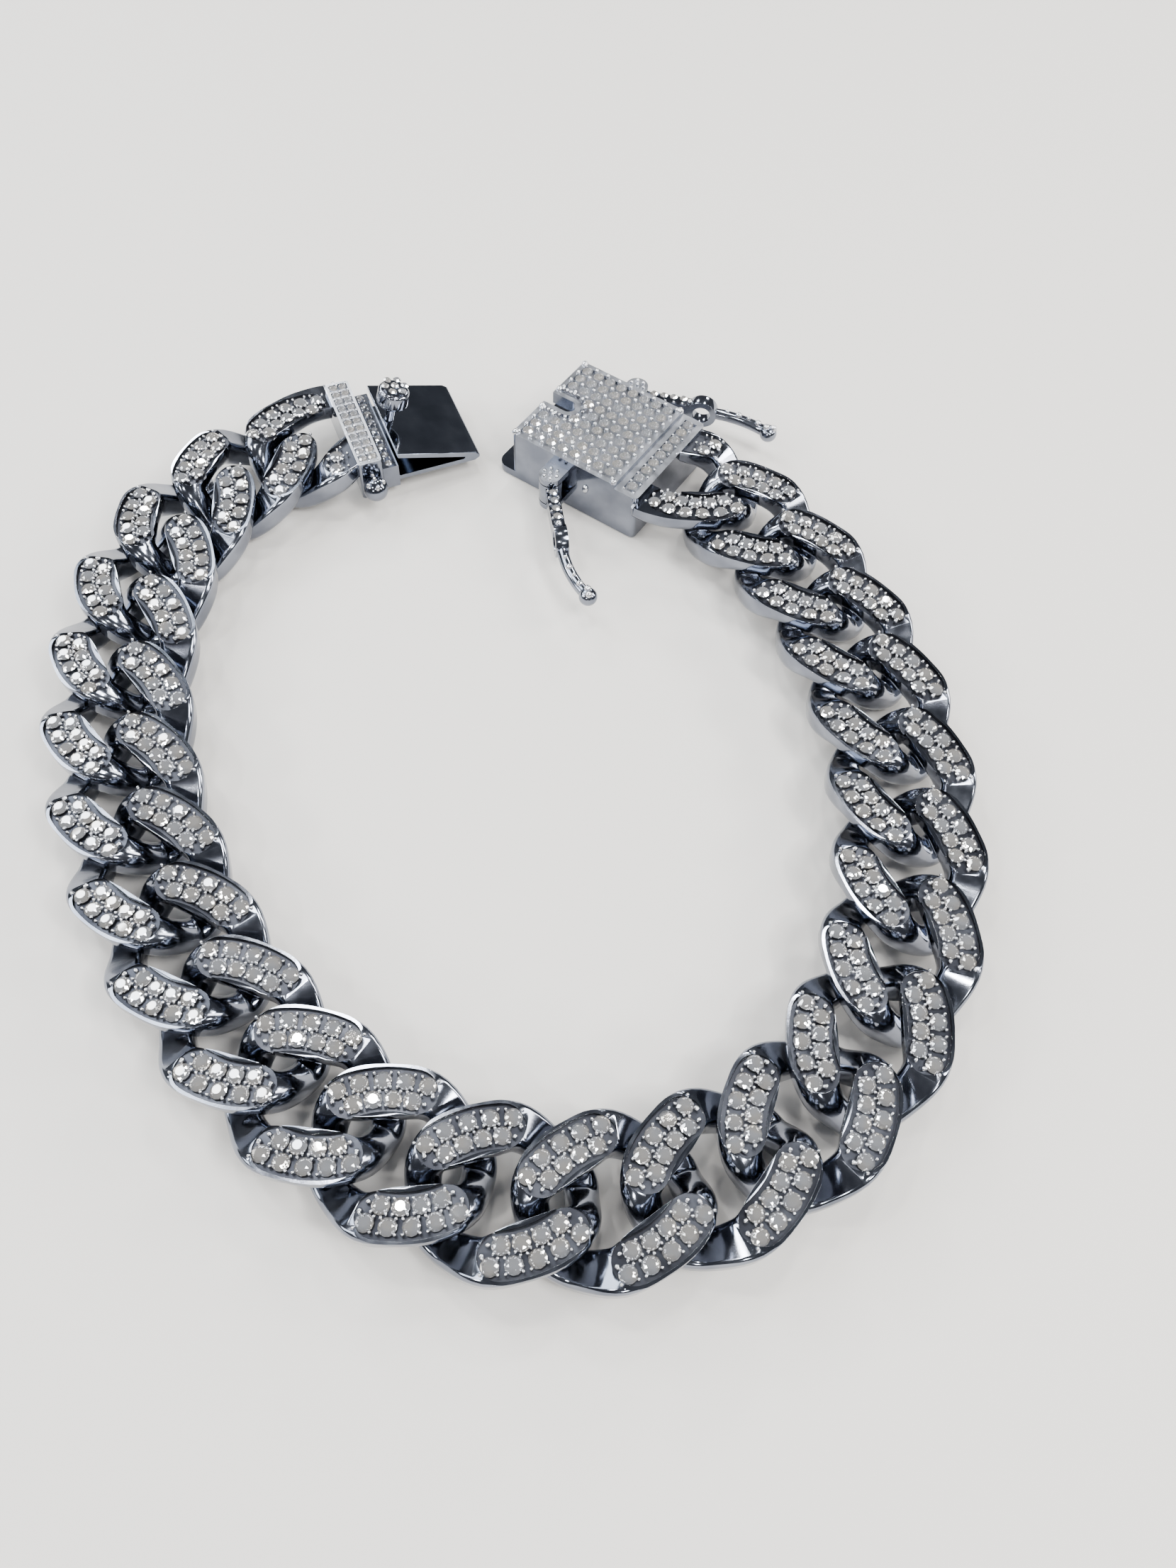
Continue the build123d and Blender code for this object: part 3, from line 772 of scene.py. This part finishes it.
boxBody = carriedOver("clasp_box", "boxBody", boxPlace)
tongueBody = carriedOver("tongue_bar", "tongueBody", tonguePlace)
springLeaf = carriedOver("tongue_spring", "springLeaf")
thumbButton = carriedOver("thumb_button", "thumbButton")
frontLatch = carriedOver("front_latch", "frontLatch")
backLatch = carriedOver("back_latch", "backLatch")
for piece in (boxBody, tongueBody, springLeaf, thumbButton, frontLatch, backLatch):
    print(piece.name, len(piece.data.polygons), "faces")
    isSpring = piece is springLeaf
    setMaterial(piece, springMetal if isSpring else rhodium)
    applyBevel(piece, clasp["springBevel" if isSpring else "edgeBevel"], clasp["easeAngle"])
    smoothShade(piece, clasp["easeAngle"])
for piece in (boxBody, tongueBody):
    # The level top faces between the small stones on roof and bars take a brighter, softer metal:
    # painted light on the tops.
    litTopLevel = max(corner.co.z for corner in piece.data.vertices) - clasp["litTopDepth"] * mm
    piece.data.materials.append(litTopMetal)
    for face in piece.data.polygons:
        if face.normal.z > nearlyLevel and face.center.z > litTopLevel:
            face.material_index = 1
settle(boxBody, "bracelet", "plated_metal", "clasp_box")
settle(tongueBody, "bracelet", "plated_metal", "tongue_bar")
settle(springLeaf, "bracelet", "spring_steel", "tongue_spring")
settle(thumbButton, "bracelet", "plated_metal", "thumb_button")
settle(frontLatch, "front_latch_arm", "plated_metal", "front_latch")
settle(backLatch, "back_latch_arm", "plated_metal", "back_latch")

keptStones = ("box", "box_bar", "tongue_bar", "button", "front_latch", "back_latch")
for name in keptStones:
    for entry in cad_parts[name + "_stones"].material_slots:
        entry.material = crystal
print("clasp carried over")

bead = roundBead("claspBead", clasp["bead"], beadForm["roofTall"])
tinyBead = roundBead("tinyBead", clasp["smallBead"], beadForm["tall"])
cornerBead = roundBead("cornerBead", clasp["cornerBead"], 1.0)
wallStud = roundBead("wallStud", clasp["cornerBead"], beadForm["tall"])
roofStone = cutStone("roofStone", clasp["stone"])
stepStone = cutStone("stepStone", clasp["smallStone"])


def putAt(original, kept, stand, x, y, z):
    place = stand @ Matrix.Translation((x * mm, y * mm, z * mm))
    kept.append(copyPiece(original, original.name, place))


inBox = standing(boxPlace, 0)
inTongue = standing(tonguePlace, 0)

# Roof of the box: a bead at each corner of its grid of stones, with room left for the notch.
roof = {
    "start": 5.3,
    "end": 16.0,
    "half": 5.65,
    "columns": 8,
    "rows": 9,
    "top": 5.6,
    "beadRise": 0.02,
    "stoneRise": 0.16,
    "notchCentre": 14.15,
    "notchHalf": 1.25,
    "notchClear": 0.25,
    "notchRim": 0.37,
    "notchRimBeads": 5,
    "notchRimStep": 0.42,
    "notchStoneColumn": 5.5,
    "rimCorners": ((5.05, 5.85), (16.22, 5.85), (16.22, 1.45)),
    "barLines": {1: 4.07, -1: 3.03},
    "barSpread": 0.98,
    "barTop": 5.10,
    "studOnWall": (7.9, 6.15, 3.3),
}

# Latches: hinge and lug, then the arm with its beads, the eye and the curled tail.
hinge = {
    "place": (11.0, 7.49, 2.675),
    "lugTop": 4.5,
    "lugBeads": 6,
    "lugRing": 0.68,
    "lugRingDrop": 0.06,
    "frontAngle": 133,
    "backAngle": 158,
    "armTop": 0.85,
    "armBeads": 5,
    "armBeadStart": 1.25,
    "armBeadStep": 0.86,
    "armBeadSide": 0.42,
    "beadByEye": 5.4,
    "tailStart": 7.95,
    "tailRadius": 11.58,
    "tailTurn": 0.5145,
    "tailRise": 0.50,
    "tipRise": 0.75,
    "tipBeads": (-0.30, 0.42),
}

boxBeads = []
boxStones = []
columnStep = (roof["end"] - roof["start"]) / roof["columns"]
rowStep = 2 * roof["half"] / roof["rows"]
clearOfNotch = roof["notchHalf"] + roof["notchClear"]
notchRim = roof["notchHalf"] + roof["notchRim"]
onRoof = roof["top"] + roof["beadRise"]
for column in range(roof["columns"] + 1):
    for row in range(roof["rows"] + 1):
        x = roof["start"] + column * columnStep
        y = row * rowStep - roof["half"]
        past = max(0, roof["notchCentre"] - x)
        if sqrt(past * past + y * y) > clearOfNotch:
            putAt(bead, boxBeads, inBox, x, y, onRoof)
for side in (1, -1):
    # Round the notch: two stones in its corners, and a line of beads along its rim.
    x = roof["start"] + roof["notchStoneColumn"] * columnStep
    putAt(roofStone, boxStones, inBox, x, side * rowStep, roof["top"] + roof["stoneRise"])
    for step in range(roof["notchRimBeads"]):
        angle = radians(90 + 90 * step / (roof["notchRimBeads"] - 1))
        x = roof["notchCentre"] + notchRim * cos(angle)
        putAt(bead, boxBeads, inBox, x, side * notchRim * sin(angle), onRoof)
        x = roof["notchCentre"] + roof["notchRimStep"] * step
        putAt(bead, boxBeads, inBox, x, side * notchRim, onRoof)
    for x, y in roof["rimCorners"]:
        putAt(cornerBead, boxBeads, inBox, x, side * y, roof["top"])
    for row in range(roof["rows"]):
        y = (row + 0.5 - roof["rows"] / 2) * rowStep * roof["barSpread"] + rowStep / 2
        putAt(tinyBead, boxBeads, inBox, roof["barLines"][side], y, roof["barTop"])
    x, y, z = hinge["place"]
    putAt(bead, boxBeads, inBox, x, side * y, hinge["lugTop"])
    for step in range(hinge["lugBeads"]):
        angle = 2 * pi * step / hinge["lugBeads"]
        ahead = hinge["lugRing"] * cos(angle)
        across = hinge["lugRing"] * sin(angle)
        lugHeight = hinge["lugTop"] - hinge["lugRingDrop"]
        putAt(bead, boxBeads, inBox, x + ahead, side * y + across, lugHeight)
putAt(wallStud, boxBeads, inBox, *roof["studOnWall"])
settle(joinPieces(boxBeads, "boxBeads"), "bracelet", "plated_metal")
settle(joinPieces(boxStones, "boxNotchStones"), "bracelet", "stones")

# Tongue bar: three lines of beads between its stones, a row of stones on its step, and a crown of
# beads on each ball stud, set by their directions from the ball's middle.
tongue = {
    "barHalf": 5.55,
    "barRows": 11,
    "barSpread": 0.99,
    "barLines": (2.62, 4.28, 3.45),
    "barTop": 5.05,
    "stepLine": 5.38,
    "stepTop": 3.50,
    "stepHalf": 4.7,
    "stepStones": 9,
    "stepBeadSide": 0.28,
    "stepBeadDrop": 0.02,
    "stud": (3.45, 6.7, 2.675),
    "studRadius": 1.175,
    "studBeads": (
        (0, 0, 1),
        (0.62, 0.25, 0.74),
        (-0.62, 0.25, 0.74),
        (0, 0.72, 0.69),
        (0, -0.62, 0.78),
    ),
}

tongueBeads = []
tongueStones = []
barStep = 2 * tongue["barHalf"] / tongue["barRows"]
for row in range(tongue["barRows"] + 1):
    y = (row * barStep - tongue["barHalf"]) * tongue["barSpread"]
    for x in tongue["barLines"]:
        putAt(tinyBead, tongueBeads, inTongue, x, y, tongue["barTop"])
halfStep = tongue["stepHalf"] / (tongue["stepStones"] - 1)
beadTop = tongue["stepTop"] - tongue["stepBeadDrop"]
for index in range(tongue["stepStones"]):
    y = 2 * index * halfStep - tongue["stepHalf"]
    putAt(stepStone, tongueStones, inTongue, tongue["stepLine"], y, tongue["stepTop"])
    if index:
        for aside in (-tongue["stepBeadSide"], tongue["stepBeadSide"]):
            x = tongue["stepLine"] + aside
            putAt(tinyBead, tongueBeads, inTongue, x, y - halfStep, beadTop)
for side in (1, -1):
    x, y, z = tongue["stud"]
    for direction in tongue["studBeads"]:
        ahead, outward, up = [tongue["studRadius"] * part for part in direction]
        putAt(bead, tongueBeads, inTongue, x + ahead, side * (y + outward), z + up)
settle(joinPieces(tongueBeads, "tongueBeads"), "bracelet", "plated_metal")
settle(joinPieces(tongueStones, "tongueStepStones"), "bracelet", "stones")


def onTail(side, share):
    # Point along the curled tail, by the share of its turn.
    turn = hinge["tailTurn"] * share
    ahead = hinge["tailStart"] + hinge["tailRadius"] * sin(turn)
    return ahead, side * hinge["tailRadius"] * (1 - cos(turn))


tailBeads = ((0.22, bead), (0.42, cornerBead), (0.60, bead), (0.78, cornerBead))
for body, name, side, angle in (
    ("front_latch_arm", "frontArmBeads", 1, hinge["frontAngle"]),
    ("back_latch_arm", "backArmBeads", -1, hinge["backAngle"]),
):
    x, y, z = hinge["place"]
    lift = Matrix.Translation((x * mm, side * y * mm, z * mm))
    inArm = inBox @ lift @ Matrix.Rotation(side * radians(angle), 4, "Z")
    armBeads = []
    putAt(cornerBead, armBeads, inArm, hinge["beadByEye"], 0, hinge["armTop"])
    for step in range(hinge["armBeads"]):
        x = hinge["armBeadStart"] + hinge["armBeadStep"] * step
        for across in (-hinge["armBeadSide"], hinge["armBeadSide"]):
            putAt(tinyBead, armBeads, inArm, x, across, hinge["armTop"])
    for share, size in tailBeads:
        putAt(size, armBeads, inArm, *onTail(side, share), hinge["tailRise"])
    x, y = onTail(side, 1)
    for ahead in hinge["tipBeads"]:
        putAt(cornerBead, armBeads, inArm, x + ahead, y, hinge["tipRise"])
    settle(joinPieces(armBeads, name), body, "plated_metal")

for piece in (bead, tinyBead, cornerBead, wallStud, roofStone, stepStone):
    dropPiece(piece)
print("clasp dressed")


# Room: pale paper, four soft lights, and a ring of small ones that spark on the facets. Each soft
# light has its place, width and height in m, its watts and its tint. Each small one has its degrees
# round and up, its size in m and its watts.
room = {
    "floorSize": 1.2,
    "floorLevel": -0.0001,
    "floorTone": (0.62, 0.60, 0.57, 1),
    "floorRough": 0.7,
    "lights": {
        "windowLight": ((-0.24, 0.22, 0.32), 0.20, 0.24, 1.5, (0.90, 0.95, 1.0)),
        "leftLight": ((-0.35, -0.02, 0.22), 0.12, 0.30, 1.1, (0.92, 0.96, 1.0)),
        "rightLight": ((0.38, 0.06, 0.18), 0.08, 0.25, 1.2, (1.0, 0.97, 0.93)),
        "topLight": ((0.24, -0.12, 0.42), 0.16, 0.16, 2.2, (1.0, 1.0, 1.0)),
    },
    "glintReach": 0.42,
    "glintTint": (1.0, 0.99, 0.97),
    "glints": (
        (228, 52, 0.025, 0.35),
        (326, 50, 0.025, 0.35),
        (65, 53, 0.025, 0.35),
        (148, 66, 0.025, 0.35),
        (274, 45, 0.025, 0.35),
        (20, 30, 0.045, 0.42),
        (65, 24, 0.045, 0.42),
        (110, 32, 0.045, 0.42),
        (160, 26, 0.045, 0.42),
        (205, 31, 0.045, 0.42),
        (250, 25, 0.045, 0.42),
        (295, 31, 0.045, 0.42),
        (340, 27, 0.045, 0.42),
        (90, 76, 0.05, 0.5),
    ),
    "airTone": (0.22, 0.23, 0.25, 1),
    "airStrength": 0.6,
}


def areaLight(name, place, width, height, power, tint):
    # Soft light that faces the middle of the bracelet.
    deselectAll()
    bpy.ops.object.light_add(type="AREA", location=place)
    light = bpy.context.object
    light.name = name
    light.data.shape = "RECTANGLE"
    light.data.size = width
    light.data.size_y = height
    light.data.energy = power
    light.data.color = tint
    light.rotation_euler = (-Vector(place)).to_track_quat("-Z", "Y").to_euler()


deselectAll()
bpy.ops.mesh.primitive_plane_add(size=room["floorSize"], location=(0, 0, room["floorLevel"]))
floor = bpy.context.object
floor.name = "floor"
paper, _, paperShader = shaderOf("floorPaper")
paperShader.inputs["Base Color"].default_value = room["floorTone"]
paperShader.inputs["Roughness"].default_value = room["floorRough"]
setMaterial(floor, paper)

for name, values in room["lights"].items():
    areaLight(name, *values)
for index, (turn, height, size, power) in enumerate(room["glints"]):
    flat = room["glintReach"] * cos(radians(height))
    up = room["glintReach"] * sin(radians(height))
    spot = (flat * cos(radians(turn)), flat * sin(radians(turn)), up)
    areaLight("glint%d" % index, spot, size, size, power, room["glintTint"])

world = bpy.data.worlds.new("studio")
world.use_nodes = True
air = world.node_tree.nodes["Background"]
air.inputs["Color"].default_value = room["airTone"]
air.inputs["Strength"].default_value = room["airStrength"]
bpy.context.scene.world = world

# Camera fitted to the photograph: place in mm, turn in degrees.
view = {
    "place": (5.18, -57.64, 90.34),
    "turn": (31.36, -1.79, 0.86),
    "lens": 28.84,
    "sensor": 36.0,
    "nearest": 5,
}

deselectAll()
bpy.ops.object.camera_add(location=[v * mm for v in view["place"]])
camera = bpy.context.object
camera.rotation_euler = [radians(angle) for angle in view["turn"]]
camera.data.sensor_fit = "VERTICAL"
camera.data.sensor_height = view["sensor"]
camera.data.lens = view["lens"]
camera.data.clip_start = view["nearest"] * mm
bpy.context.scene.camera = camera
print("room lit, camera set")
